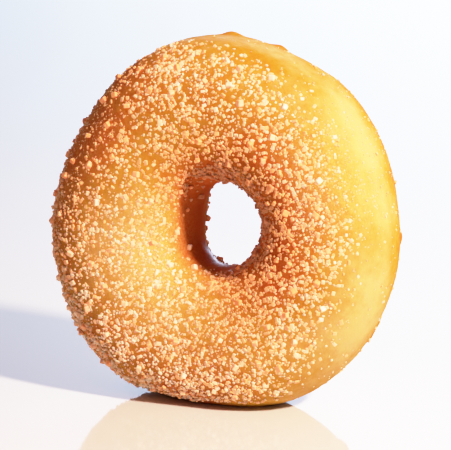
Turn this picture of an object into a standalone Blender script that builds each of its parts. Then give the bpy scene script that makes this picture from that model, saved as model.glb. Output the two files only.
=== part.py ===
"""Sugared ring doughnut of fried yeast dough, standing on its edge.

Units are metres and +Z is up. The ring's axis lies along Y and its front face looks along -Y. The origin
is on the flat spot of the rim that the doughnut stands on, under the middle of the whole.

Two angles place a point on the skin. "Around" runs round the hole, from +X towards +Z. "Section" runs
round the dough's cross-section, from the outer rim (0) over the back face (90 degrees), the wall of the
hole (180) and the front face (270).
"""

import math
import random

import bmesh
import bpy
from mathutils import Euler, Matrix, Vector, noise

# Driving dimensions of the dough
OUTER_RADIUS = 0.0420
HOLE_RADIUS = 0.0091
THICKNESS = 0.0314
SECTION_POWER = 2.14
RING_CENTRE = (0.0004, 0.0, 0.0400)

# How far the hand-shaped ring leaves a true circle: waves round the ring, height, phase in degrees
RIM_WAVES = (
    (2, 0.00108, 134),
    (3, 0.00078, -77),
    (4, 0.00035, 145),
    (5, 0.00024, 115),
    (6, 0.00032, -57),
    (7, 0.00015, -127),
)
HOLE_WAVES = (
    (1, 0.00245, 15),
    (2, 0.00092, 140),
    (3, 0.00024, 22),
    (4, 0.00012, 95),
)
THICKNESS_WAVES = (
    (2, 0.00030, 40),
    (3, 0.00020, 160),
)

# The pale band left by frying one face and then the other: a shallow groove that wanders round the rim
BAND_DEPTH = 0.00035
BAND_HALF_WIDTH = 0.0034
BAND_OFFSET = -0.0045
BAND_WANDER = 0.0025

# Soft swells of the risen dough
SWELL_HEIGHT = 0.00038
SWELL_SPACING = 0.0125

# Crisp nubs of dough on the back shoulder and the rim: around and section in degrees, radius
NUBS = (
    (-1, 27, 0.0013),
    (-31, 27, 0.0015),
    (-36, 24, 0.0017),
    (-48, 22, 0.0013),
    (74, 20, 0.0015),
    (89, 12, 0.0016),
    (158, 14, 0.0014),
    (203, -18, 0.0013),
)
NUB_LENGTH = 1.6
NUB_SUNK = 0.55

# The mesh of the dough
AROUND_STEPS = 76
SECTION_STEPS = 32

# The largest sugar crystals, fused to the crust. Finer sugar is too small for these facets
CRYSTAL_COUNT = 240
CRYSTAL_SIDE = 0.00120
CRYSTAL_SIDE_SPREAD = 0.22
CRYSTAL_LIFT = 0.18
CRYSTAL_SEED = 7
CRYSTAL_FLOOR_GAP = 0.0030
CANDIDATES = 12

# Where the sugar lies: how far the full coat reaches from the middle of a face, in degrees of section.
# Towards the rim it ends sooner on the +X side than on the -X side
RIM_REACH = 60
RIM_REACH_SWING = 30
HOLE_REACH = 78
HALF_FADE = 20
LEAST_SUGAR = 0.10


def clear_scene():
    for thing in list(bpy.data.objects):
        bpy.data.objects.remove(thing)


def new_collection(name):
    collection = bpy.data.collections.new(name)
    bpy.context.scene.collection.children.link(collection)
    return collection


def plain_material(name, colour, roughness):
    material = bpy.data.materials.new(name)
    material.use_nodes = True
    shader = material.node_tree.nodes["Principled BSDF"]
    shader.inputs["Base Color"].default_value = (*colour, 1.0)
    shader.inputs["Roughness"].default_value = roughness
    shader.inputs["Metallic"].default_value = 0.0
    return material


def wave_sum(around, waves):
    """Sum of cosine waves round the ring, in metres."""
    return sum(
        height * math.cos(count * around - math.radians(phase))
        for count, height, phase in waves
    )


def signed_power(value, power):
    return math.copysign(abs(value) ** power, value)


def smooth_step(value):
    value = min(1.0, max(0.0, value))
    return value * value * (3 - 2 * value)


def plain_skin(around, section):
    """Point on the ring before its swells, groove and nubs, about the ring's own centre."""
    rim = OUTER_RADIUS + wave_sum(around, RIM_WAVES)
    hole = HOLE_RADIUS + wave_sum(around, HOLE_WAVES)
    half_thickness = THICKNESS / 2 + wave_sum(around, THICKNESS_WAVES)
    across = signed_power(math.cos(section), 2 / SECTION_POWER)
    along = signed_power(math.sin(section), 2 / SECTION_POWER)
    radius = (rim + hole) / 2 + (rim - hole) / 2 * across
    return Vector(
        (
            radius * math.cos(around),
            half_thickness * along,
            radius * math.sin(around),
        )
    )


def outward(around, section):
    """Direction that the skin faces, from two short steps over it."""
    step = 0.01
    ahead = plain_skin(around + step, section) - plain_skin(around - step, section)
    over = plain_skin(around, section + step) - plain_skin(around, section - step)
    return over.cross(ahead).normalized()


def relief(around, section, point):
    """Height of the skin over the plain ring: the dough's swells and the band's groove."""
    height = SWELL_HEIGHT * noise.noise(point / SWELL_SPACING)
    if math.cos(section) > 0:
        band = BAND_OFFSET + BAND_WANDER * math.sin(around)
        off_band = (point.y - band) / BAND_HALF_WIDTH
        height -= BAND_DEPTH * math.exp(-off_band * off_band) * math.cos(section)
    return height


def skin_point(around, section):
    """Point on the finished skin, about the ring's own centre."""
    point = plain_skin(around, section)
    return point + outward(around, section) * relief(around, section, point)


def sugar_share(around, section):
    """How much of the full sugar coat a place on the skin holds, from 0 to 1."""
    off_face = math.degrees(math.acos(abs(math.sin(section))))
    if math.cos(section) > 0:
        reach = RIM_REACH - RIM_REACH_SWING * math.cos(around)
    else:
        reach = HOLE_REACH
    covered = smooth_step(0.5 + (reach - off_face) / (2 * HALF_FADE))
    return LEAST_SUGAR + (1 - LEAST_SUGAR) * covered


def draw_place(draw):
    """A random place for sugar, likelier where the skin is wide and its sugar coat full."""
    while True:
        around = draw.uniform(0, 2 * math.pi)
        section = draw.uniform(0, 2 * math.pi)
        point = plain_skin(around, section)
        share = sugar_share(around, section)
        width_share = math.hypot(point.x, point.z) / OUTER_RADIUS
        clear_of_floor = RING_CENTRE[2] + point.z > CRYSTAL_FLOOR_GAP
        if clear_of_floor and draw.random() < share * width_share:
            return around, section, point, share


def spread_over_skin(count, draw):
    """Evenly spread places for sugar: each is the candidate that stands farthest from those before."""
    places = []
    while len(places) < count:
        candidates = [draw_place(draw) for _ in range(CANDIDATES)]
        places.append(max(candidates, key=lambda candidate: room_at(candidate, places)))
    return [(around, section) for around, section, _, _ in places]


def room_at(candidate, places):
    """Distance to the nearest place taken, counted larger where the sugar coat is full."""
    _, _, point, share = candidate
    nearest = min(((point - taken).length for _, _, taken, _ in places), default=0.0)
    return nearest * math.sqrt(share)


def make_dough(collection):
    """The ring: a torus whose points are moved to the hand-shaped skin, then cut flat where it stands."""
    bpy.ops.mesh.primitive_torus_add(
        major_segments=AROUND_STEPS,
        minor_segments=SECTION_STEPS,
        major_radius=(OUTER_RADIUS + HOLE_RADIUS) / 2,
        minor_radius=(OUTER_RADIUS - HOLE_RADIUS) / 2,
    )
    dough = bpy.context.object
    dough.name = "doughnut"
    for old in list(dough.users_collection):
        old.objects.unlink(dough)
    collection.objects.link(dough)

    shape = bmesh.new()
    shape.from_mesh(dough.data)
    middle = (OUTER_RADIUS + HOLE_RADIUS) / 2
    for vertex in shape.verts:
        x, y, z = vertex.co
        around = math.atan2(y, x)
        section = math.atan2(-z, math.hypot(x, y) - middle)
        vertex.co = skin_point(around, section) + Vector(RING_CENTRE)
    cut_foot(shape)
    bmesh.ops.recalc_face_normals(shape, faces=shape.faces)
    shape.to_mesh(dough.data)
    shape.free()
    dough.data.shade_smooth()
    return dough


def cut_foot(shape):
    """Cuts the ring at the surface it stands on and closes the cut with one flat face."""
    everything = shape.verts[:] + shape.edges[:] + shape.faces[:]
    cut = bmesh.ops.bisect_plane(
        shape,
        geom=everything,
        plane_co=(0, 0, 0),
        plane_no=(0, 0, 1),
        clear_inner=True,
    )
    rim = [piece for piece in cut["geom_cut"] if isinstance(piece, bmesh.types.BMEdge)]
    bmesh.ops.contextual_create(shape, geom=rim)


def add_piece(name, shape, collection):
    """Makes an object of a bmesh that was modelled about the ring's own centre."""
    bmesh.ops.translate(shape, verts=shape.verts, vec=RING_CENTRE)
    mesh = bpy.data.meshes.new(name)
    shape.to_mesh(mesh)
    shape.free()
    collection.objects.link(bpy.data.objects.new(name, mesh))


def make_nub(name, around, section, radius, collection):
    """A crisp nub: a low faceted knob, longest round the rim and mostly sunk into it."""
    out = outward(around, section)
    along_rim = Vector((-math.sin(around), 0, math.cos(around)))
    along_rim = (along_rim - out * along_rim.dot(out)).normalized()
    turn = Matrix((along_rim, out.cross(along_rim), out)).transposed().to_4x4()
    centre = skin_point(around, section) - out * (NUB_SUNK * radius)
    place = Matrix.Translation(centre) @ turn @ Matrix.Diagonal((NUB_LENGTH, 1, 1, 1))
    knob = bmesh.new()
    bmesh.ops.create_icosphere(knob, subdivisions=1, radius=radius, matrix=place)
    add_piece(name, knob, collection)


def make_crystal(name, around, section, draw, collection):
    """One sugar crystal: a small uneven block, turned at random and sunk into the crust."""
    sides = [
        CRYSTAL_SIDE * (1 + draw.uniform(-CRYSTAL_SIDE_SPREAD, CRYSTAL_SIDE_SPREAD))
        for _ in range(3)
    ]
    turn = Euler([draw.uniform(0, 2 * math.pi) for _ in range(3)]).to_matrix().to_4x4()
    centre = skin_point(around, section) + outward(around, section) * (
        CRYSTAL_LIFT * min(sides)
    )
    place = Matrix.Translation(centre) @ turn @ Matrix.Diagonal((*sides, 1))
    block = bmesh.new()
    bmesh.ops.create_cube(block, size=1.0, matrix=place)
    add_piece(name, block, collection)


def fuse(dough, pieces):
    """Joins every object of the collection to the dough as one solid, and removes them."""
    union = dough.modifiers.new("nubs and sugar on crust", "BOOLEAN")
    union.operation = "UNION"
    union.operand_type = "COLLECTION"
    union.collection = pieces
    union.solver = "EXACT"
    bpy.context.view_layer.objects.active = dough
    bpy.ops.object.modifier_apply(modifier=union.name)
    for piece in list(pieces.objects):
        bpy.data.objects.remove(piece)
    bpy.data.collections.remove(pieces)


def build():
    clear_scene()
    crust = plain_material("fried crust", (0.66, 0.30, 0.075), 0.45)
    parts = new_collection("ring doughnut")
    dough = make_dough(parts)
    dough.data.materials.clear()
    dough.data.materials.append(crust)

    fused = new_collection("nubs and sugar crystals")
    for number, (around, section, radius) in enumerate(NUBS):
        make_nub(f"nub_{number}", math.radians(around), math.radians(section), radius, fused)
    draw = random.Random(CRYSTAL_SEED)
    for number, (around, section) in enumerate(spread_over_skin(CRYSTAL_COUNT, draw)):
        make_crystal(f"crystal_{number:03d}", around, section, draw, fused)
    fuse(dough, fused)


build()
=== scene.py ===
# %% [markdown]
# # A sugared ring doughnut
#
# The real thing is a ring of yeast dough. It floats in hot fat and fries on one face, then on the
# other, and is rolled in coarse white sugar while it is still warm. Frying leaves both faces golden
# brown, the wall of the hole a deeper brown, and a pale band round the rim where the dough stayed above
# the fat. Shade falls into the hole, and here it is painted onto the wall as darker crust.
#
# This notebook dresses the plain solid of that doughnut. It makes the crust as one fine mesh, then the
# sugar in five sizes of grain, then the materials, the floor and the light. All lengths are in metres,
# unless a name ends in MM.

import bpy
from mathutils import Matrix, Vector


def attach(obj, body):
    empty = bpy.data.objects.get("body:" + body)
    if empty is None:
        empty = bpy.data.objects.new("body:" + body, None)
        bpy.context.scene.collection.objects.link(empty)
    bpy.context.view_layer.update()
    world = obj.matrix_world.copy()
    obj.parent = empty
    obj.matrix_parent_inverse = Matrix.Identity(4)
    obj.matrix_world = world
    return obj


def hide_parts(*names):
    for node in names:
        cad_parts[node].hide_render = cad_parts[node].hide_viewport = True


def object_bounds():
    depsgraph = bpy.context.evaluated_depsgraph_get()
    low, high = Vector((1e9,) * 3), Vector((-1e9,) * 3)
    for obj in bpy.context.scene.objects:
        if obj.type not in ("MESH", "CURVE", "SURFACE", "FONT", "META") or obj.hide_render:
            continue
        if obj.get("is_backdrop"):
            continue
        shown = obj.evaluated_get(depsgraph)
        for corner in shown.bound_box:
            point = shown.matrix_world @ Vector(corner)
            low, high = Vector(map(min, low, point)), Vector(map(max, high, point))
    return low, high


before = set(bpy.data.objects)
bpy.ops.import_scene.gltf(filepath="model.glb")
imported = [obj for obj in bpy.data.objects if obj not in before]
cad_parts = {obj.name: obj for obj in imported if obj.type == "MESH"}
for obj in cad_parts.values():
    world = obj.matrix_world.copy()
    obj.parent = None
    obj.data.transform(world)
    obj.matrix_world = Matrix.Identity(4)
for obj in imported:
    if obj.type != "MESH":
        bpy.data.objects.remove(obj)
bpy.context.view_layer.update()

# %% Modules for the mesh work
import math
import random

import bmesh
import bpy
import numpy as np
from mathutils import Euler, Matrix, Vector, noise
from mathutils.kdtree import KDTree

# %% [markdown]
# ## The camera
#
# The picture looks a little down on the front face, and from a little to its right. A long lens from
# half a metre keeps the ring nearly round, as in most product pictures. The camera could be turned by a
# constraint, but three directions worked out from two angles are easy to check and leave nothing live.
# It aims half a millimetre off the ring's centre, because the picture isn't quite centred on the ring.

# %% Camera
RING_CENTRE = Vector((0.0004, 0.0, 0.0400))
VIEW_AZIMUTH = math.radians(23.52)
VIEW_ELEVATION = math.radians(10.68)
VIEW_DISTANCE = 0.4972
LENS_MM = 175.6
SENSOR_MM = 36.0
AIM_RIGHT = 0.00054
AIM_UP = 0.00035


def view_directions(azimuth, elevation):
    """The camera's own right, up and backwards directions."""
    back = Vector(
        (
            math.sin(azimuth) * math.cos(elevation),
            -math.cos(azimuth) * math.cos(elevation),
            math.sin(elevation),
        )
    )
    right = Vector((math.cos(azimuth), math.sin(azimuth), 0))
    return right, back.cross(right), back


right, up, back = view_directions(VIEW_AZIMUTH, VIEW_ELEVATION)
aim = RING_CENTRE + right * AIM_RIGHT + up * AIM_UP
lens = bpy.data.cameras.new("camera")
lens.lens = LENS_MM
lens.sensor_width = SENSOR_MM
camera = bpy.data.objects.new("camera", lens)
turn = Matrix((right, up, back)).transposed().to_4x4()
camera.matrix_world = Matrix.Translation(aim + back * VIEW_DISTANCE) @ turn
bpy.context.scene.collection.objects.link(camera)
bpy.context.scene.camera = camera
print("camera at, mm:", [round(1000 * value) for value in camera.matrix_world.translation])

# %% [markdown]
# ## The skin of the ring
#
# Two angles name any place on a ring. "Around" runs round the hole, from +X towards +Z. "Section" runs
# round the dough's cross-section: 0 on the outer rim, 90 degrees on the back face, 180 on the wall of the
# hole and 270 on the front face. A hand-cut ring is never a true torus, so a few low waves change its
# rim, its hole and its thickness. A sculpted mesh could do the same, but a formula also tells every
# sugar grain where the crust is and which way it faces.

# %% Driving dimensions of the ring
OUTER_RADIUS = 0.0420
HOLE_RADIUS = 0.0091
THICKNESS = 0.0314

# 2 gives a round cross-section, and more a squarer one
SECTION_POWER = 2.14

# Waves round the ring: how many, height in metres, phase in degrees
RIM_WAVES = (
    (2, 0.00108, 134),
    (3, 0.00078, -77),
    (4, 0.00035, 145),
    (5, 0.00024, 115),
    (6, 0.00032, -57),
    (7, 0.00015, -127),
)
HOLE_WAVES = (
    (1, 0.00245, 15),
    (2, 0.00092, 140),
    (3, 0.00024, 22),
    (4, 0.00012, 95),
)
THICKNESS_WAVES = (
    (2, 0.00030, 40),
    (3, 0.00020, 160),
)


def wave_sum(around, waves):
    """Sum of cosine waves round the ring."""
    return sum(
        height * np.cos(count * around - math.radians(phase))
        for count, height, phase in waves
    )


def signed_power(value, power):
    """A power that keeps the sign, which squares off a circle a little."""
    return np.copysign(np.abs(value) ** power, value)


def smooth_step(value):
    """0 below 0, 1 above 1, and a soft curve between."""
    value = np.clip(value, 0.0, 1.0)
    return value * value * (3 - 2 * value)


def plain_skin(around, section):
    """Points on the ring before its fine relief, about the ring's own centre."""
    rim = OUTER_RADIUS + wave_sum(around, RIM_WAVES)
    hole = HOLE_RADIUS + wave_sum(around, HOLE_WAVES)
    half_thickness = THICKNESS / 2 + wave_sum(around, THICKNESS_WAVES)
    across = signed_power(np.cos(section), 2 / SECTION_POWER)
    along = signed_power(np.sin(section), 2 / SECTION_POWER)
    radius = (rim + hole) / 2 + (rim - hole) / 2 * across
    return np.stack(
        (radius * np.cos(around), half_thickness * along, radius * np.sin(around)), axis=-1
    )


def outward(around, section):
    """Direction that the skin faces, from two short steps over it."""
    step = 0.01
    ahead = plain_skin(around + step, section) - plain_skin(around - step, section)
    over = plain_skin(around, section + step) - plain_skin(around, section - step)
    facing = np.cross(over, ahead)
    return facing / np.linalg.norm(facing, axis=-1, keepdims=True)


face_middle = plain_skin(0.0, math.radians(270))
print("front face, mm from the ring's middle:", round(1000 * float(-face_middle[1]), 1))

# %% [markdown]
# ## Relief of the crust
#
# Risen dough swells softly, the pale band is a shallow groove that wanders round the rim, and the fried
# skin has small wrinkles 3 mm apart and pits 1.3 mm apart. All of this is real depth in the mesh, because
# a bump in the material would vanish from the outline. Only relief finer than the mesh is left to bump.

# %% Relief
BAND_DEPTH = 0.00035
BAND_HALF_WIDTH = 0.0034
BAND_OFFSET = -0.0045
BAND_WANDER = 0.0025
SWELL_HEIGHT = 0.00038
SWELL_SPACING = 0.0125
WRINKLE_HEIGHT = 0.00010
WRINKLE_SPACING = 0.0030
PIT_HEIGHT = 0.00005
PIT_SPACING = 0.0013


def noise_at(points, spacing):
    """Smooth noise between -1 and 1, with lumps as far apart as the spacing."""
    return np.array([noise.noise(Vector(point) / spacing) for point in np.atleast_2d(points)])


def band_strength(around, section, points):
    """1 in the middle of the pale band, fading to 0 away from it and towards the hole."""
    band = BAND_OFFSET + BAND_WANDER * np.sin(around)
    off_band = (points[..., 1] - band) / BAND_HALF_WIDTH
    return np.exp(-off_band * off_band) * np.maximum(np.cos(section), 0.0)


def relief(around, section, points):
    """Height of the soft relief, which the plain solid has too."""
    swell = SWELL_HEIGHT * noise_at(points, SWELL_SPACING)
    return swell - BAND_DEPTH * band_strength(around, section, points)


def skin(around, section):
    """Points on the skin with its soft relief, about the ring's own centre, and their directions."""
    points = plain_skin(around, section)
    facing = outward(around, section)
    return points + facing * relief(around, section, points)[..., None], facing


print("swells, mm:", round(1000 * SWELL_HEIGHT, 2), "groove, mm:", round(1000 * BAND_DEPTH, 2))

# %% [markdown]
# ## Nubs of dough
#
# Frying leaves a few crisp nubs on the shoulder behind the band, where the dough tore or bubbled. They
# are knobs no taller than a grain of rice is thick. Separate little meshes would leave a seam round each
# foot, so they are raised from the skin itself as pointed swellings, longest along the rim.

# %% Nubs
# Around and section in degrees, radius in metres
NUBS = (
    (-1, 27, 0.0013),
    (-31, 27, 0.0015),
    (-36, 24, 0.0017),
    (-48, 22, 0.0013),
    (74, 20, 0.0015),
    (89, 12, 0.0016),
    (158, 14, 0.0014),
    (203, -18, 0.0013),
)

# In nub radii: how long along the rim, how tall, and how wide its foot spreads
NUB_LENGTH = 1.6
NUB_HEIGHT = 0.48
NUB_FOOT = 1.35


def nub_height(points):
    """Height that the nubs add at each point of the skin."""
    height = np.zeros(len(points))
    for around, section, radius in NUBS:
        place, facing = skin(np.radians([around]), np.radians([section]))
        along_rim = np.array([-math.sin(math.radians(around)), 0, math.cos(math.radians(around))])
        off = points - place[0]
        along = off @ along_rim
        shortened = (off * off).sum(axis=1) - (1 - 1 / NUB_LENGTH**2) * along * along
        distance = np.sqrt(shortened) / (radius * NUB_FOOT)
        height += NUB_HEIGHT * radius * smooth_step(1 - distance)
    return height


print("nubs:", len(NUBS))

# %% [markdown]
# ## The dough
#
# The crust is one closed skin, made the way a ring is drawn: a circle for the cross-section, spun a full
# turn about the ring's axis, with its ends merged. A torus primitive would give the same grid, but the
# spin leaves the number of steps each way in plain sight. Every point then moves to the formula's skin.
# The ring settles on a small flat spot, so it is cut at the floor and the cut is closed.

# %% Dough
AROUND_STEPS = 430
SECTION_STEPS = 164


def spun_ring():
    """A true torus about the Y axis, as a bmesh."""
    shape = bmesh.new()
    middle = (OUTER_RADIUS + HOLE_RADIUS) / 2
    bmesh.ops.create_circle(
        shape,
        radius=(OUTER_RADIUS - HOLE_RADIUS) / 2,
        segments=SECTION_STEPS,
        matrix=Matrix.Translation((middle, 0, 0)),
    )
    bmesh.ops.spin(
        shape,
        geom=shape.verts[:] + shape.edges[:],
        cent=(0, 0, 0),
        axis=(0, 1, 0),
        angle=2 * math.pi,
        steps=AROUND_STEPS,
        use_merge=True,
    )
    return shape


def torus_angles(points):
    """Around and section of points on the true torus."""
    middle = (OUTER_RADIUS + HOLE_RADIUS) / 2
    around = np.arctan2(points[:, 2], points[:, 0])
    section = np.arctan2(points[:, 1], np.hypot(points[:, 0], points[:, 2]) - middle)
    return around, section


def make_dough():
    shape = spun_ring()
    flat_ring = np.array([vertex.co for vertex in shape.verts])
    around, section = torus_angles(flat_ring)
    points, facing = skin(around, section)
    fine = (
        WRINKLE_HEIGHT * noise_at(points, WRINKLE_SPACING)
        + PIT_HEIGHT * noise_at(points, PIT_SPACING)
        + nub_height(points)
    )
    points = points + facing * fine[:, None]
    for vertex, point in zip(shape.verts, points):
        vertex.co = Vector(point) + RING_CENTRE
    cut = bmesh.ops.bisect_plane(
        shape,
        geom=shape.verts[:] + shape.edges[:] + shape.faces[:],
        plane_co=(0, 0, 0),
        plane_no=(0, 0, 1),
        clear_inner=True,
    )
    rim = [piece for piece in cut["geom_cut"] if isinstance(piece, bmesh.types.BMEdge)]
    bmesh.ops.contextual_create(shape, geom=rim)
    bmesh.ops.recalc_face_normals(shape, faces=shape.faces)
    mesh = bpy.data.meshes.new("crust")
    shape.to_mesh(mesh)
    shape.free()
    mesh.shade_smooth()
    dough = bpy.data.objects.new("crust", mesh)
    bpy.context.scene.collection.objects.link(dough)
    return dough


dough = make_dough()
dough_top = max(vertex.co.z for vertex in dough.data.vertices)
print("crust:", len(dough.data.polygons), "faces, top at", round(1000 * dough_top, 2), "mm")

# %% [markdown]
# ## Browning
#
# The colour of a fried crust follows how long each place sat in the fat. The faces are golden brown, the
# band on the rim stayed pale, and the shoulder behind it caught more heat. The wall of the hole is made
# darkest, partly a deeper fried brown and partly painted shade, for shadow falls into the hole. Soft
# spots add the rest, some of them browning and some painted light: darker brown on the left of the rim,
# which faces away from the lamp, partly painted shade; paler crust and a pale streak on the right under
# the lamp, partly painted highlight; paler crust on the lit slope left of the hole, partly painted light;
# and a redder foot, partly painted glow from the floor. A painted map could hold this, but the skin's own
# angles already say where each of these is, so the value is worked out for every point and kept on the
# mesh as an attribute that the material reads.

# %% Browning attribute
# Browning runs from 0, pale straw, through 0.5, gold, to 1, deep brown
FACE_BROWNING = 0.48
BAND_PALING = 0.16

# The hole's wall darkens with the angle past the middle of a face: partly browning, partly painted shade
HOLE_BROWNING_AND_SHADE = 0.50
HOLE_DARKENING_FROM = math.radians(26)
HOLE_DARKENING_TO = math.radians(88)

# Patches, shifted so that they don't fall on the dough's swells, which use the same noise
PATCH_BROWNING = 0.20
PATCH_SPACING = 0.011
PATCH_SHIFT = 1.0
SHOULDER_BROWNING = 0.20
SHOULDER_SECTION = math.radians(20)
SHOULDER_HALF_WIDTH = math.radians(12)

# Soft spots, browner or paler, some of them painted shade and painted light as marked below: around and
# section in degrees, reach in metres, change
BROWNING_AND_PAINTED_LIGHT_SPOTS = (
    # Left of the rim, which faces away from the lamp: darker brown, partly browning and partly painted
    # shade
    (138, -48, 0.012, 0.46),
    (114, -30, 0.009, 0.34),
    (165, -40, 0.013, 0.34),
    (195, -40, 0.012, 0.34),
    (222, -35, 0.011, 0.30),
    (243, -40, 0.012, 0.26),
    (262, -30, 0.010, 0.20),
    # Wall and upper lip of the hole, in the ring's own shade: darker, redder brown, partly browning and
    # partly painted shade
    (180, -166, 0.005, 0.34),
    (140, -162, 0.005, 0.34),
    (-145, -166, 0.005, 0.34),
    (95, -142, 0.008, 0.34),
    # Browner face round the hole
    (58, -100, 0.015, 0.32),
    (8, -98, 0.014, 0.42),
    (-75, -92, 0.014, 0.08),
    # Front of the foot: a redder brown, partly painted glow of light thrown up from the floor into the
    # shade
    (-95, -22, 0.012, 0.45),
    # Browner face low on the right of the hole
    (-34, -116, 0.012, 0.28),
    # Right shoulder, under the lamp: paler crust, partly paler dough and partly painted highlight of the
    # lamp
    (0, -42, 0.011, -0.28),
    (35, -42, 0.011, -0.26),
    (65, -42, 0.011, -0.14),
    (-35, -40, 0.012, -0.26),
    # Left of the hole, where the slope faces the lamp: paler crust, partly painted light
    (178, -122, 0.012, -0.22),
    (-148, -118, 0.013, -0.18),
    # Right rim: a pale streak that is painted highlight, the shine of the glossy crust
    (42, -8, 0.005, -0.30),
    (28, -14, 0.005, -0.32),
    (12, -12, 0.005, -0.22),
    (-14, -26, 0.006, -0.26),
    (-28, -30, 0.006, -0.26),
    # A browner nub behind the band on the right
    (-1, 27, 0.0025, 0.22),
)


def skin_angles(points):
    """Around and section of points on the finished skin, about the ring's own centre."""
    around = np.arctan2(points[:, 2], points[:, 0])
    rim = OUTER_RADIUS + wave_sum(around, RIM_WAVES)
    hole = HOLE_RADIUS + wave_sum(around, HOLE_WAVES)
    radius = np.hypot(points[:, 0], points[:, 2])
    across = (radius - (rim + hole) / 2) / ((rim - hole) / 2)
    along = points[:, 1] / (THICKNESS / 2)
    section = np.arctan2(
        signed_power(along, SECTION_POWER / 2), signed_power(across, SECTION_POWER / 2)
    )
    return around, section


def spots_at(points, spots):
    """Sum of soft round spots on the skin."""
    total = np.zeros(len(points))
    for around, section, reach, change in spots:
        middle = plain_skin(np.radians(around), np.radians(section))
        off = np.linalg.norm(points - middle, axis=1) / reach
        total += change * np.exp(-off * off)
    return total


def browning_and_painted_light_at(points):
    """Browning of points on the skin, with painted shade and painted light at the marked spots and in the
    hole.
    """
    around, section = skin_angles(points)
    past_face = np.abs(np.abs(section) - math.pi / 2) * (np.cos(section) < 0)
    in_hole = smooth_step((past_face - HOLE_DARKENING_FROM) / (HOLE_DARKENING_TO - HOLE_DARKENING_FROM))
    patches = noise_at(points + PATCH_SHIFT, PATCH_SPACING)
    off_shoulder = (section - SHOULDER_SECTION) / SHOULDER_HALF_WIDTH
    return (
        FACE_BROWNING
        + HOLE_BROWNING_AND_SHADE * in_hole
        - BAND_PALING * band_strength(around, section, points)
        + PATCH_BROWNING * patches
        + SHOULDER_BROWNING * np.exp(-off_shoulder * off_shoulder)
        + spots_at(points, BROWNING_AND_PAINTED_LIGHT_SPOTS)
    )


def store_values(mesh, name, values):
    """Keeps one number for each point of the mesh, for a material to read."""
    attribute = mesh.attributes.new(name, "FLOAT", "POINT")
    attribute.data.foreach_set("value", np.ascontiguousarray(values, dtype=np.float32))


dough_points = np.array([vertex.co for vertex in dough.data.vertices]) - np.array(RING_CENTRE)
# Browning, with painted shade and painted light at the marked spots and in the hole
browning_and_painted_light = browning_and_painted_light_at(dough_points)
store_values(dough.data, "browning_and_painted_light", browning_and_painted_light)
print("browning from", round(float(browning_and_painted_light.min()), 2), "to", round(float(browning_and_painted_light.max()), 2))

# %% [markdown]
# ## Where the sugar lies
#
# Rolling a warm ring in sugar coats its faces. Less sticks on the rim, least on the side that was held,
# and little reaches the middle of the hole. One function gives that share of the full coat, and every
# size of grain uses it, so that they thin out together.

# %% Sugar coat
# How far the full coat reaches from the middle of a face, and how softly it ends, in degrees of section
RIM_REACH = 60
RIM_REACH_SWING = 30
HOLE_REACH = 78
HALF_FADE = 20
LEAST_SUGAR = 0.10

# The floor wiped the sugar off below this height
CRYSTAL_FLOOR_GAP = 0.0030


def sugar_share(around, section):
    """How much of the full sugar coat a place on the skin holds, from 0 to 1."""
    off_face = np.degrees(np.arccos(np.abs(np.sin(section))))
    rim_reach = RIM_REACH - RIM_REACH_SWING * np.cos(around)
    reach = np.where(np.cos(section) > 0, rim_reach, HOLE_REACH)
    covered = smooth_step(0.5 + (reach - off_face) / (2 * HALF_FADE))
    return LEAST_SUGAR + (1 - LEAST_SUGAR) * covered


def place_weight(around, section):
    """How likely a random place is to hold a grain, and the place itself."""
    point = plain_skin(around, section)
    width_share = np.hypot(point[..., 0], point[..., 2]) / OUTER_RADIUS
    clear_of_floor = RING_CENTRE.z + point[..., 2] > CRYSTAL_FLOOR_GAP
    return sugar_share(around, section) * width_share * clear_of_floor, point


print("sugar on the rim, -X side:", round(float(sugar_share(math.pi, 0.0)), 2))
print("sugar on the rim, +X side:", round(float(sugar_share(0.0, 0.0)), 2))

# %% [markdown]
# ## Sugar dust, painted light and a film of fat
#
# The finest sugar is a powder. Most of it is too small for a mesh and only pales the crust between the
# grains, thickest left of the hole, low on the face and on the right shoulder. Left of the hole, on the
# slope that faces the lamp, that paling is partly painted light, and under the lamp on the right shoulder
# its specks are partly painted glints. It is kept as a number for each point of the crust, and later
# steers the smallest grains too. Those stay off the hole's wall on the -X side, where fat ran down and
# left a smooth film. Two spots of that film are thick enough to shine.

# %% Dust
DUST_WITH_COAT = 0.10

# How far fine sugar reaches into the hole, in degrees of section past the middle of a face
HOLE_FINE_REACH = 67
HOLE_FINE_SWING = 14

# Where the dust lies thick, some spots partly painted light as marked: around and section in degrees,
# reach in metres, share
DUST_AND_GLINT_SPOTS = (
    # Left of the hole, on the slope that faces the lamp: dust, partly painted light
    (178, -126, 0.008, 0.26),
    (-150, -122, 0.011, 0.18),
    # Low on the face: dust
    (-115, -100, 0.014, 0.14),
    (-75, -95, 0.014, 0.12),
    (-150, -80, 0.012, 0.10),
    # Right shoulder, under the lamp's highlight: specks that are partly painted glints, partly dust
    (20, -52, 0.011, 0.32),
    (38, -30, 0.012, 0.14),
    # Left of the rim: dust
    (138, -38, 0.011, 0.14),
    (168, -48, 0.010, 0.12),
)

# Where fat ran down and set as a glossy film, in the same terms
FAT_SPOTS = (
    (-124, 168, 0.0018, 0.55),
    (-106, 172, 0.0020, 0.80),
)


def fine_hole_share(around, section):
    """1 outside the hole, fading to 0 on its wall, sooner on the -X side."""
    past_face = np.degrees(np.arccos(np.abs(np.sin(section)))) * (np.cos(section) < 0)
    reach = HOLE_FINE_REACH + HOLE_FINE_SWING * np.cos(around)
    return 1 - smooth_step(0.5 + (past_face - reach) / (2 * HALF_FADE))


def dust_and_glint_share(around, section, points):
    """How much the dust pales the crust, from 0 to 1, with painted light and glints at some spots."""
    return DUST_WITH_COAT * sugar_share(around, section) + spots_at(points, DUST_AND_GLINT_SPOTS)


def dust_grain_coat(around, section, points):
    """How likely a place is to hold one of the smallest grains."""
    return dust_and_glint_share(around, section, points) * fine_hole_share(around, section)


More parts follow.
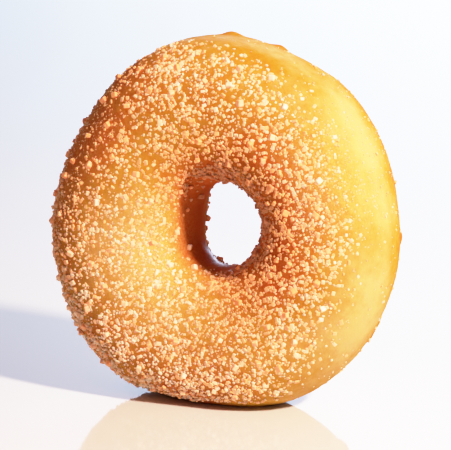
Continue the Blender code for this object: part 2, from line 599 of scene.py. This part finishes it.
dough_around, dough_section = skin_angles(dough_points)
dust_and_glints = dust_and_glint_share(dough_around, dough_section, dough_points)
store_values(dough.data, "dust_and_glints", dust_and_glints)
store_values(dough.data, "fat", np.minimum(spots_at(dough_points, FAT_SPOTS), 1))
print("dust up to", round(float(dust_and_glints.max()), 2))

# %% [markdown]
# ## The coarsest crystals
#
# The plain solid already carries the 240 largest crystals. The crust here hides that solid, so they are
# made again in the same places, by the same draws of the same seed: each is the candidate that stands
# farthest from those before it, which spreads them evenly without rows.

# %% Coarse crystals, places
CRYSTAL_COUNT = 240
CRYSTAL_SEED = 7
CANDIDATES = 12


def draw_place(draw):
    """One random place for sugar, likelier where the skin is wide and its sugar coat full."""
    while True:
        around = draw.uniform(0, 2 * math.pi)
        section = draw.uniform(0, 2 * math.pi)
        weight, point = place_weight(around, section)
        if weight > 0 and draw.random() < weight:
            return around, section, point, float(sugar_share(around, section))


def room_at(candidate, taken):
    """Distance to the nearest place taken, counted larger where the sugar coat is full."""
    if not taken:
        return 0.0
    nearest = np.linalg.norm(np.array(taken) - candidate[2], axis=1).min()
    return nearest * math.sqrt(candidate[3])


def spread_over_skin(count, draw):
    """Evenly spread places: around and section of each."""
    places = []
    taken = []
    while len(places) < count:
        candidates = [draw_place(draw) for _ in range(CANDIDATES)]
        best = max(candidates, key=lambda candidate: room_at(candidate, taken))
        places.append(best[:2])
        taken.append(best[2])
    return np.array(places)


coarse_draw = random.Random(CRYSTAL_SEED)
coarse_places = spread_over_skin(CRYSTAL_COUNT, coarse_draw)
print("coarse crystals:", len(coarse_places))

# %% [markdown]
# ## Shapes of grain
#
# Sugar crystals are small slanted blocks and six-sided tablets with worn edges. Three shapes are modelled
# once with bmesh, one unit wide: a block with every edge bevelled, a tablet, which is a short six-sided
# cone, and a plain block for grains whose edges are too small to see. They are repeated thousands of
# times, so each has at most a few dozen faces.

# %% Grain shapes
GRAIN_BEVEL = 0.13
TABLET_SIDES = 6
TABLET_FOOT = 0.56
TABLET_TOP = 0.44
TABLET_DEPTH = 0.85


def shape_arrays(shape):
    """Corners and triangles of a small bmesh, as arrays to be repeated."""
    bmesh.ops.triangulate(shape, faces=shape.faces[:])
    shape.verts.ensure_lookup_table()
    corners = np.array([vertex.co for vertex in shape.verts])
    triangles = np.array([[vertex.index for vertex in face.verts] for face in shape.faces])
    shape.free()
    return corners, triangles


def worn_block():
    shape = bmesh.new()
    bmesh.ops.create_cube(shape, size=1.0)
    bmesh.ops.bevel(
        shape,
        geom=shape.edges[:],
        offset=GRAIN_BEVEL,
        segments=1,
        profile=0.5,
        affect="EDGES",
        material=-1,
    )
    shape.verts.index_update()
    return shape_arrays(shape)


def tablet():
    shape = bmesh.new()
    bmesh.ops.create_cone(
        shape,
        cap_ends=True,
        segments=TABLET_SIDES,
        radius1=TABLET_FOOT,
        radius2=TABLET_TOP,
        depth=TABLET_DEPTH,
    )
    return shape_arrays(shape)


def plain_block():
    shape = bmesh.new()
    bmesh.ops.create_cube(shape, size=1.0)
    return shape_arrays(shape)


WORN_BLOCK = worn_block()
TABLET = tablet()
PLAIN_BLOCK = plain_block()
print("triangles a grain:", len(WORN_BLOCK[1]), len(TABLET[1]), len(PLAIN_BLOCK[1]))

# %% [markdown]
# ## Many grains in one mesh
#
# Each size of sugar becomes one mesh: its grain is repeated at every place, turned and stretched there
# by one product of arrays. Linked copies or particles would be lighter in Blender, but other programs
# read joined meshes more surely. Every grain also gets a tone, from 0, caramel brown, to 1, dry and
# white.
# Grains in the hole are darkest, most on its upper right: partly sugar soaked with fat, partly painted
# shade, for shade falls in the hole. Sugar on the -X side is driest. Where much of the sugar fell off, on
# the upper left of the rim, which lies in shade, what is left is darker too: partly stain, partly painted
# shade.

# %% One mesh of many grains
# Spots where much of the sugar fell off: around and section in degrees, reach in metres, share lost
BARE_SPOTS = (
    (135, -34, 0.0125, 1.00),
    (115, -20, 0.0050, 0.60),
    (158, -50, 0.0080, 0.60),
    (-174, -50, 0.0110, 0.40),
)

# Tones: the side of the hole whose grains are darkest, partly soaked and partly painted shade, and how
# fast that darkens, how much whiter the -X side is, how much darker the bare spots are, partly stain and
# partly painted shade, and the lowest tone of dry sugar
SOAKED_AND_SHADED_AROUND = math.radians(40)
SOAKED_AND_SHADED_POWER = 2
TONE_SWING = 0.12
LOST_AND_SHADED_TONE = 0.8
LEAST_TONE = 0.3


def grain_tones(around, section, least_tone, rng):
    """One tone a grain: darker in the hole and on bare spots, partly fat, partly painted shade; whiter at
    -X.
    """
    near_side = (1 + np.cos(around - SOAKED_AND_SHADED_AROUND)) / 2
    # In the hole: darker, partly soaked with fat, partly painted shade
    soaked_and_shaded = np.maximum(-np.cos(section), 0.0) * near_side
    # On bare spots: darker, partly stain, partly painted shade
    lost = np.minimum(spots_at(plain_skin(around, section), BARE_SPOTS), 1)
    tones = least_tone + (1 - least_tone) * rng.random(len(around))
    tones *= (1 - soaked_and_shaded) ** SOAKED_AND_SHADED_POWER * (1 - LOST_AND_SHADED_TONE * lost)
    return tones * (1 - TONE_SWING * np.cos(around))


def join_grains(name, grain, centres, turns, sides, tones):
    """Repeats one grain at each centre with its own turn, sides and tone, as a single mesh object."""
    corners, triangles = grain
    shaped = corners[None] * sides[:, None]
    placed = np.einsum("nij,nkj->nki", turns, shaped) + centres[:, None]
    starts = np.arange(len(centres))[:, None, None] * len(corners)
    faces = (triangles[None] + starts).reshape(-1, 3)
    mesh = bpy.data.meshes.new(name)
    mesh.from_pydata(placed.reshape(-1, 3), [], faces)
    mesh.shade_flat()
    store_values(mesh, "grain_tone", np.repeat(tones, len(corners)))
    grains = bpy.data.objects.new(name, mesh)
    bpy.context.scene.collection.objects.link(grains)
    print(name, len(centres), "grains,", len(faces), "triangles")
    return grains


# %% [markdown]
# ## The largest crystals
#
# They are blocks of about 1.2 mm, sunk almost halfway into the crust. Their sides and turns come from the
# draws that follow those of their places, as in the plain solid. Their edges are bevelled, because worn
# edges catch small glints that sharp ones wouldn't.

# %% The largest crystals
CRYSTAL_SIDE = 0.00120
CRYSTAL_SIDE_SPREAD = 0.22

# Height of a crystal's middle over the skin, in shares of its shortest side
CRYSTAL_LIFT = 0.18


def make_coarse():
    """The solid's own crystals again, with the same sides and turns, and worn edges."""
    sides = []
    turns = []
    for _ in coarse_places:
        sides.append(
            [
                CRYSTAL_SIDE
                * (1 + coarse_draw.uniform(-CRYSTAL_SIDE_SPREAD, CRYSTAL_SIDE_SPREAD))
                for _ in range(3)
            ]
        )
        turns.append(Euler([coarse_draw.uniform(0, 2 * math.pi) for _ in range(3)]).to_matrix())
    sides = np.array(sides)
    points, facing = skin(coarse_places[:, 0], coarse_places[:, 1])
    centres = points + facing * (CRYSTAL_LIFT * sides.min(axis=1))[:, None]
    tone_draws = np.random.default_rng(CRYSTAL_SEED)
    tones = grain_tones(coarse_places[:, 0], coarse_places[:, 1], LEAST_TONE, tone_draws)
    return join_grains(
        "sugar_coarse", WORN_BLOCK, centres + np.array(RING_CENTRE), np.array(turns), sides, tones
    )


sugar = [make_coarse()]

# %% [markdown]
# ## Places for the smaller grains
#
# Between the largest crystals lie thousands of smaller ones, from most of a millimetre down to dust. Real
# grains touch and bunch up but can't share a place, so each size has a least distance between grains, and
# a noise of a few millimetres makes clumps and bare spots. Drawing many places and keeping the free ones,
# found with a tree of neighbours, is quicker than a particle system and gives the same coat each run.

# %% Places for scattered grains
# Share of the coat that holds no grain at all, and how much faster the grains thin out than the coat
CLEAN_SHARE = 0.06
THINNING = 0.15

# The floor wiped the grains off below this height
GRAIN_FLOOR_GAP = 0.0016
CLUMP_SPACING = 0.0042
CLUMP_CONTRAST = 0.32
DRAWS_FOR_EACH = 14


def grain_coat(around, section, points):
    """Share of the full coat of grains: least on the hole's -X wall, and bare where they fell off."""
    kept = fine_hole_share(around, section) * np.maximum(1 - spots_at(points, BARE_SPOTS), 0)
    share = (sugar_share(around, section) - CLEAN_SHARE) / (1 - CLEAN_SHARE)
    return kept * share ** (1 + THINNING)


def scatter(count, nearest, coat, rng):
    """Random places over the sugared skin, none nearer to another than asked."""
    around = rng.uniform(0, 2 * math.pi, count * DRAWS_FOR_EACH)
    section = rng.uniform(0, 2 * math.pi, count * DRAWS_FOR_EACH)
    points = plain_skin(around, section)
    width_share = np.hypot(points[:, 0], points[:, 2]) / OUTER_RADIUS
    clear_of_floor = RING_CENTRE.z + points[:, 2] > GRAIN_FLOOR_GAP
    weight = coat(around, section, points) * width_share * clear_of_floor
    likely = rng.random(len(weight)) < weight
    around, section, points = around[likely], section[likely], points[likely]
    bunched = 1 - CLUMP_CONTRAST * (0.5 + noise_at(points, CLUMP_SPACING))
    kept = rng.random(len(points)) < bunched
    around, section, points = around[kept], section[kept], points[kept]
    tree = KDTree(len(points))
    for number, point in enumerate(points):
        tree.insert(point, number)
    tree.balance()
    taken = np.zeros(len(points), dtype=bool)
    for number, point in enumerate(points):
        if not any(taken[other] for _, other, _ in tree.find_range(point, nearest)):
            taken[number] = True
        if taken.sum() == count:
            break
    return around[taken], section[taken]


right_side = np.zeros(1)
front_face = np.radians([270.0])
face_coat = grain_coat(right_side, front_face, plain_skin(right_side, front_face))
print("coat of grains on the front face:", round(float(face_coat[0]), 2))

# %% [markdown]
# ## Laying the grains
#
# A grain that falls on sticky crust lies on its broad side, a little tilted. So each one is stretched to
# a flat uneven block, its short side is set along the skin's direction, and it is spun at random about
# that. Most sink in slightly. Where the coat is full, one in ten rides on other grains. Grains cast no
# shadow, because light passes through real sugar: opaque shadows would turn the crust between them
# nearly black.

# %% Grains laid on the crust
# Least and most of each side, in shares of the grain's size
LEAST_SIDES = (0.72, 0.72, 0.45)
MOST_SIDES = (1.42, 1.12, 0.80)
GRAIN_TILT = 0.28

# Height of a grain's middle over the skin, in shares of its size, on other grains and on the crust
ON_TOP_LIFT = (0.35, 0.60)
CRUST_LIFT = (-0.05, 0.18)
FULL_COAT = 0.8


def laid_turns(facing, tilt, rng):
    """Rotation matrices that lay each grain flat on the skin, spun at random and a little tilted."""
    normal = facing + tilt * rng.normal(size=facing.shape)
    normal /= np.linalg.norm(normal, axis=1, keepdims=True)
    first = np.cross(normal, rng.normal(size=facing.shape))
    first /= np.linalg.norm(first, axis=1, keepdims=True)
    return np.stack((first, np.cross(normal, first), normal), axis=-1)


def make_sugar(name, grain, count, smallest, largest, spacing, stacked, seed, coat, least_tone):
    """One size of sugar, as one row of the table below."""
    rng = np.random.default_rng(seed)
    around, section = scatter(count, spacing * (smallest + largest) / 2, coat, rng)
    count = len(around)
    size = rng.uniform(smallest, largest, count)
    sides = size[:, None] * rng.uniform(LEAST_SIDES, MOST_SIDES, (count, 3))
    points, facing = skin(around, section)
    share = sugar_share(around, section)
    on_top = (rng.random(count) < stacked) & (share > FULL_COAT)
    lift = np.where(on_top, rng.uniform(*ON_TOP_LIFT, count), rng.uniform(*CRUST_LIFT, count))
    centres = points + facing * (lift * size)[:, None] + np.array(RING_CENTRE)
    tones = grain_tones(around, section, least_tone, rng)
    return join_grains(name, grain, centres, laid_turns(facing, GRAIN_TILT, rng), sides, tones)


# Name, shape, most grains, smallest and largest size, least spacing in sizes, share that may ride on
# other grains, seed, coat and lowest tone
SUGAR_SIZES = (
    ("sugar_blocks", WORN_BLOCK, 4400, 0.00065, 0.00088, 0.76, 0.10, 11, grain_coat, LEAST_TONE),
    ("sugar_tablets", TABLET, 7600, 0.00050, 0.00068, 0.76, 0.10, 12, grain_coat, LEAST_TONE),
    ("sugar_fines", PLAIN_BLOCK, 3200, 0.00032, 0.00046, 0.90, 0.10, 13, grain_coat, LEAST_TONE),
    ("sugar_dust", PLAIN_BLOCK, 7800, 0.00018, 0.00030, 1.00, 0.00, 14, dust_grain_coat, 0.5),
)
for sugar_size in SUGAR_SIZES:
    sugar.append(make_sugar(*sugar_size))
for grains in sugar:
    grains.visible_shadow = False

# %% [markdown]
# ## Colours and nodes
#
# Colours are written as the sRGB hex codes that a picture editor shows, and one function turns them into
# the linear light that the renderer works in. A second small function adds any node with its settings and
# links, so that each material below reads from top to bottom.


# %% Colour and node helpers
def linear(hex_code):
    """An sRGB hex colour as linear red, green, blue and alpha, by the sRGB standard's own curve."""
    parts = [int(hex_code[start : start + 2], 16) / 255 for start in (1, 3, 5)]
    light = [
        part / 12.92 if part <= 0.04045 else ((part + 0.055) / 1.055) ** 2.4 for part in parts
    ]
    return (*light, 1.0)


def add_node(tree, kind, inputs=None, **settings):
    """Adds a node, sets its properties, and gives each named input a value or a link."""
    node = tree.nodes.new(kind)
    for name, value in settings.items():
        setattr(node, name, value)
    for name, value in (inputs or {}).items():
        if isinstance(value, bpy.types.NodeSocket):
            tree.links.new(value, node.inputs[name])
        else:
            node.inputs[name].default_value = value
    return node


def new_material(name):
    """An empty material with only its output, and the tree to fill."""
    material = bpy.data.materials.new(name)
    material.use_nodes = True
    material.node_tree.nodes.clear()
    return material, material.node_tree


print("half grey is", round(linear("#808080")[0], 3), "in linear light")

# %% [markdown]
# ## Fried crust
#
# Fried dough is browned starch and sugar that soaked up fat: warm and a little glossy where it is pale,
# dull where it is toasted, with light that sinks in and glows at thin edges. A Principled shader has all
# of that. Its colour runs from pale straw through gold to deep brown with the attribute of browning, made
# uneven by a noise 2.4 mm apart; that attribute also carries painted shade and painted light, so the same
# ramp paints them. Dust pales it in specks of 0.45 mm, which at some spots are painted light and glints,
# and a clear coat is the film of fat. The bump is the skin's grain, 0.7 mm apart.

# %% Crust material
PALE_CRUST = "#cfa86c"
GOLDEN_CRUST = "#b3801f"
BROWN_CRUST = "#aa4304"
# Pale sugar dust; the same colour paints light and glints at the marked dust spots
DUST_AND_GLINT_COLOUR = "#e8b66e"
PER_METRE = 1000
MOTTLE_SPACING_MM = 2.4
MOTTLE_CONTRAST = 0.55

# Specks of dust: the part of the noise that counts, and how thin and thick the dust is over it
DUST_SPACING_MM = 0.45
SPECK_NOISE = (0.35, 0.65)
SPECK_DUST = (0.5, 1.4)

# From pale to toasted crust, by browning
DULLING_BROWNING = (0.2, 0.9)
DULLING_ROUGHNESS = (0.42, 0.95)
SKIN_GRAIN_SPACING_MM = 0.7
SKIN_GRAIN_HEIGHT = 0.0002
SKIN_GRAIN_STRENGTH = 0.35


def crust_material():
    """Fried dough: warm, a little glossy, and light sinks into it."""
    material, tree = new_material("fried dough crust")
    place = add_node(tree, "ShaderNodeTexCoord").outputs["Object"]
    browning_and_painted_light = add_node(tree, "ShaderNodeAttribute", attribute_name="browning_and_painted_light").outputs["Fac"]
    mottle = add_node(
        tree,
        "ShaderNodeTexNoise",
        {"Vector": place, "Scale": PER_METRE / MOTTLE_SPACING_MM, "Detail": 3.0, "Roughness": 0.6},
    ).outputs["Fac"]
    uneven = add_node(
        tree, "ShaderNodeMath", {0: mottle, 1: 0.5}, operation="SUBTRACT"
    ).outputs[0]
    toast_and_painted_light = add_node(
        tree,
        "ShaderNodeMath",
        {0: uneven, 1: MOTTLE_CONTRAST, 2: browning_and_painted_light},
        operation="MULTIPLY_ADD",
    ).outputs[0]
    # The ramp colours the browning, and with it the painted shade and painted light that the value
    # carries
    ramp = add_node(tree, "ShaderNodeValToRGB", {"Fac": toast_and_painted_light})
    ramp.color_ramp.elements[0].position = 0.0
    ramp.color_ramp.elements[0].color = linear(PALE_CRUST)
    ramp.color_ramp.elements[1].position = 1.0
    ramp.color_ramp.elements[1].color = linear(BROWN_CRUST)
    ramp.color_ramp.elements.new(0.5).color = linear(GOLDEN_CRUST)
    dust_and_glints = add_node(tree, "ShaderNodeAttribute", attribute_name="dust_and_glints").outputs["Fac"]
    speckle = add_node(
        tree,
        "ShaderNodeTexNoise",
        {"Vector": place, "Scale": PER_METRE / DUST_SPACING_MM, "Detail": 2.0},
    ).outputs["Fac"]
    speckled = add_node(
        tree,
        "ShaderNodeMapRange",
        {
            "Value": speckle,
            "From Min": SPECK_NOISE[0],
            "From Max": SPECK_NOISE[1],
            "To Min": SPECK_DUST[0],
            "To Max": SPECK_DUST[1],
        },
    ).outputs["Result"]
    # Dust in specks; at the marked spots the specks are painted glints and painted light
    dusted_and_glinting = add_node(
        tree, "ShaderNodeMath", {0: dust_and_glints, 1: speckled}, operation="MULTIPLY", use_clamp=True
    ).outputs[0]
    skin_colour = add_node(
        tree,
        "ShaderNodeMix",
        {"Factor": dusted_and_glinting, 6: ramp.outputs["Color"], 7: linear(DUST_AND_GLINT_COLOUR)},
        data_type="RGBA",
    ).outputs[2]
    grain = add_node(
        tree,
        "ShaderNodeTexNoise",
        {"Vector": place, "Scale": PER_METRE / SKIN_GRAIN_SPACING_MM, "Detail": 2.0},
    ).outputs["Fac"]
    gloss = add_node(
        tree,
        "ShaderNodeMapRange",
        {
            "Value": toast_and_painted_light,
            "From Min": DULLING_BROWNING[0],
            "From Max": DULLING_BROWNING[1],
            "To Min": DULLING_ROUGHNESS[0],
            "To Max": DULLING_ROUGHNESS[1],
        },
    ).outputs["Result"]
    fat = add_node(tree, "ShaderNodeAttribute", attribute_name="fat").outputs["Fac"]
    bump = add_node(
        tree,
        "ShaderNodeBump",
        {"Height": grain, "Strength": SKIN_GRAIN_STRENGTH, "Distance": SKIN_GRAIN_HEIGHT},
    ).outputs["Normal"]
    shader = add_node(
        tree,
        "ShaderNodeBsdfPrincipled",
        {
            "Base Color": skin_colour,
            "Roughness": gloss,
            "IOR": 1.46,
            "Specular IOR Level": 0.08,
            "Subsurface Weight": 0.7,
            "Subsurface Radius": (1.0, 0.42, 0.14),
            "Subsurface Scale": 0.0030,
            "Coat Weight": fat,
            "Coat Roughness": 0.14,
            "Coat IOR": 1.46,
            "Normal": bump,
        },
    )
    add_node(tree, "ShaderNodeOutputMaterial", {"Surface": shader.outputs["BSDF"]})
    return material


dough.data.materials.append(crust_material())
print("crust finish:", dough.data.materials[0].name)

# %% [markdown]
# ## Sugar
#
# Granulated sugar is clear sucrose, but worn faces and tiny cracks turn each grain milky, and it picks up
# the colour of the crust below. A pure glass shader would be noisy and too dark, so the grain is milky,
# and light sinks a millimetre into it. The tone attribute takes each grain from caramel brown, where fat
# soaked in and where shade is painted, through cream to a warm white.

# %% Sugar material
# Darkest tone: sugar soaked with fat, also the painted shade of grains in the hole and on bare spots
SOAKED_AND_SHADED_SUGAR = "#b08064"
CREAMY_SUGAR = "#f2a674"
MILKY_SUGAR = "#fbb491"
WHITE_SUGAR = "#ffd8c3"
CREAMY_FROM = 0.3
MILKY_FROM = 0.6


def sugar_material():
    """Granulated sugar: milky, with soft glints from its worn faces."""
    material, tree = new_material("granulated sugar")
    tone = add_node(tree, "ShaderNodeAttribute", attribute_name="grain_tone").outputs["Fac"]
    ramp = add_node(tree, "ShaderNodeValToRGB", {"Fac": tone})
    ramp.color_ramp.elements[0].color = linear(SOAKED_AND_SHADED_SUGAR)
    ramp.color_ramp.elements[1].color = linear(WHITE_SUGAR)
    ramp.color_ramp.elements.new(CREAMY_FROM).color = linear(CREAMY_SUGAR)
    ramp.color_ramp.elements.new(MILKY_FROM).color = linear(MILKY_SUGAR)
    shader = add_node(
        tree,
        "ShaderNodeBsdfPrincipled",
        {
            "Base Color": ramp.outputs["Color"],
            "Roughness": 0.38,
            "IOR": 1.54,
            "Specular IOR Level": 0.25,
            "Subsurface Weight": 1.0,
            "Subsurface Radius": (1.0, 0.7, 0.45),
            "Subsurface Scale": 0.0010,
        },
    )
    add_node(tree, "ShaderNodeOutputMaterial", {"Surface": shader.outputs["BSDF"]})
    return material


grain_finish = sugar_material()
for grains in sugar:
    grains.data.materials.append(grain_finish)
print("sugar finish:", grain_finish.name, "on", len(sugar), "pieces")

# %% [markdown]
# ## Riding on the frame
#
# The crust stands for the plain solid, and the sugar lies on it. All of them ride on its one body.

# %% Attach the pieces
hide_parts("doughnut")
for piece in [dough, *sugar]:
    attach(piece, "root")
print("pieces:", [piece.name for piece in [dough, *sugar]])

# %% [markdown]
# ## The floor
#
# The doughnut stands on a glossy white board, lacquered smooth, which mirrors it as a cream blur. The
# camera looks down, so this board is also all of the picture's background. A plane primitive would do,
# but a bmesh grid of one face is the same and leaves nothing selected.

# %% Floor
FLOOR_SIDE = 8.0
FLOOR_COLOUR = "#dedede"


def make_floor():
    """A white board. Low roughness gives its mirror image, and a low specular level keeps that faint."""
    shape = bmesh.new()
    bmesh.ops.create_grid(shape, x_segments=1, y_segments=1, size=FLOOR_SIDE / 2)
    mesh = bpy.data.meshes.new("floor")
    shape.to_mesh(mesh)
    shape.free()
    floor = bpy.data.objects.new("floor", mesh)
    bpy.context.scene.collection.objects.link(floor)
    material, tree = new_material("glossy white board")
    shader = add_node(
        tree,
        "ShaderNodeBsdfPrincipled",
        {
            "Base Color": linear(FLOOR_COLOUR),
            "Roughness": 0.06,
            "IOR": 1.45,
            "Specular IOR Level": 0.25,
        },
    )
    add_node(tree, "ShaderNodeOutputMaterial", {"Surface": shader.outputs["BSDF"]})
    mesh.materials.append(material)
    floor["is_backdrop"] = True


make_floor()
print("floor, metres across:", FLOOR_SIDE)

# %% [markdown]
# ## The lamp
#
# One small warm lamp, high on the right and half a metre away, gives the bright sugar and the long
# hard-edged shadow to the left. A softer and larger lamp would look kinder, but the shadow's edge says
# small.

# %% Lamp
LAMP_DISTANCE = 0.537
LAMP_AZIMUTH = math.radians(-23.4)
LAMP_ELEVATION = math.radians(34.1)
LAMP_SIZE = 0.05
LAMP_WATTS = 7.05
LAMP_COLOUR = "#ffe5cf"


def make_lamp():
    """A round lamp that faces the middle of the ring."""
    towards = Vector(
        (
            math.cos(LAMP_ELEVATION) * math.cos(LAMP_AZIMUTH),
            math.cos(LAMP_ELEVATION) * math.sin(LAMP_AZIMUTH),
            math.sin(LAMP_ELEVATION),
        )
    )
    light = bpy.data.lights.new("lamp", "AREA")
    light.shape = "DISK"
    light.size = LAMP_SIZE
    light.energy = LAMP_WATTS
    light.color = linear(LAMP_COLOUR)[:3]
    lamp = bpy.data.objects.new("lamp", light)
    turned = towards.to_track_quat("Z", "Y").to_matrix().to_4x4()
    lamp.matrix_world = Matrix.Translation(RING_CENTRE + towards * LAMP_DISTANCE) @ turned
    bpy.context.scene.collection.objects.link(lamp)


make_lamp()
print("lamp, watts:", LAMP_WATTS)

# %% [markdown]
# ## The room and its backdrop
#
# A dim warm room all round fills the doughnut's shaded side with soft light. Straight ahead stands a
# blue-white backdrop, brighter to the right and upwards, with soft edges. The board mirrors it, which
# makes the pale background, and its light fills the shadow with blue. Both are painted on the world by
# direction, so there are no walls that could hide the doughnut from another side.

# %% Room and backdrop
ROOM_COLOUR = "#ffbd9a"
ROOM_STRENGTH = 0.345
BACKDROP_COLOUR = "#d0e3ff"
BACKDROP_DARKEST = 1.62
BACKDROP_BRIGHTEST = 4.8

# How fast it brightens to the right and upwards, and between which values of that sum
BACKDROP_TO_RIGHT = 1.6
BACKDROP_UPWARDS = 0.7
BACKDROP_RISE = (-0.15, 0.30)

# Degrees from straight ahead
BACKDROP_HALF_WIDTH = 38
BACKDROP_EDGE = 14


def make_room():
    """A dim room with one pale backdrop, straight ahead and just over the floor."""
    world = bpy.data.worlds.new("studio")
    world.use_nodes = True
    tree = world.node_tree
    tree.nodes.clear()
    direction = add_node(tree, "ShaderNodeTexCoord").outputs["Generated"]
    ahead = add_node(
        tree, "ShaderNodeVectorMath", {0: direction, 1: -back}, operation="DOT_PRODUCT"
    ).outputs["Value"]
    inner = math.cos(math.radians(BACKDROP_HALF_WIDTH - BACKDROP_EDGE))
    outer = math.cos(math.radians(BACKDROP_HALF_WIDTH + BACKDROP_EDGE))
    on_backdrop = add_node(
        tree,
        "ShaderNodeMapRange",
        {"Value": ahead, "From Min": outer, "From Max": inner},
        interpolation_type="SMOOTHSTEP",
    ).outputs["Result"]
    room = add_node(
        tree, "ShaderNodeBackground", {"Color": linear(ROOM_COLOUR), "Strength": ROOM_STRENGTH}
    )
    rise = add_node(
        tree,
        "ShaderNodeVectorMath",
        {0: direction, 1: right * BACKDROP_TO_RIGHT + Vector((0, 0, BACKDROP_UPWARDS))},
        operation="DOT_PRODUCT",
    ).outputs["Value"]
    brightness = add_node(
        tree,
        "ShaderNodeMapRange",
        {
            "Value": rise,
            "From Min": BACKDROP_RISE[0],
            "From Max": BACKDROP_RISE[1],
            "To Min": BACKDROP_DARKEST,
            "To Max": BACKDROP_BRIGHTEST,
        },
    ).outputs["Result"]
    backdrop = add_node(
        tree, "ShaderNodeBackground", {"Color": linear(BACKDROP_COLOUR), "Strength": brightness}
    )
    sky = add_node(
        tree, "ShaderNodeMixShader", {0: on_backdrop, 1: room.outputs[0], 2: backdrop.outputs[0]}
    )
    add_node(tree, "ShaderNodeOutputWorld", {"Surface": sky.outputs[0]})
    bpy.context.scene.world = world


make_room()
print("room and backdrop, strength:", ROOM_STRENGTH, BACKDROP_DARKEST, "to", BACKDROP_BRIGHTEST)

# %% [markdown]
# ## The camera's response
#
# A camera doesn't clip bright light at once. It rolls each colour off towards white, which turns the
# sunlit crust yellow and keeps its sugar from burning out. The curve here leaves everything below 0.6 as
# it is and bends smoothly above that. A ready-made filmic look would grey the white floor as well.

# %% Camera response
KNEE = 0.6
BRIGHTEST = 4.0
CURVE_STEPS = 12
ALL_CHANNELS = 3


def soften_highlights():
    """Rolls bright light off towards white, channel by channel, as a camera's response does."""
    view = bpy.context.scene.view_settings
    view.view_transform = "Standard"
    view.use_curve_mapping = True
    response = view.curve_mapping
    response.white_level = (BRIGHTEST, BRIGHTEST, BRIGHTEST)
    curve = response.curves[ALL_CHANNELS]
    curve.points[0].location = (0, 0)
    curve.points[1].location = (1, 1)
    for step in range(CURVE_STEPS):
        light = KNEE + (BRIGHTEST - KNEE) * (step / CURVE_STEPS) ** 2
        shown = 1 - (1 - KNEE) * math.exp((KNEE - light) / (1 - KNEE))
        point = curve.points.new(light / BRIGHTEST, shown)
        point.handle_type = "VECTOR"
    for point in curve.points:
        point.handle_type = "VECTOR"
    response.update()
    print("highlights roll off above", KNEE, "points", len(curve.points))


soften_highlights()

# %% [markdown]
# ## Sizes
#
# The size of the dressed doughnut's box is printed. The dressed doughnut has to fill the same box as
# the plain one.

# %% Dressed box
dressed_low, dressed_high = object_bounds()
dressed_size = [round(1000 * (high - low), 1) for low, high in zip(dressed_low, dressed_high)]
print("dressed model, mm:", dressed_size)
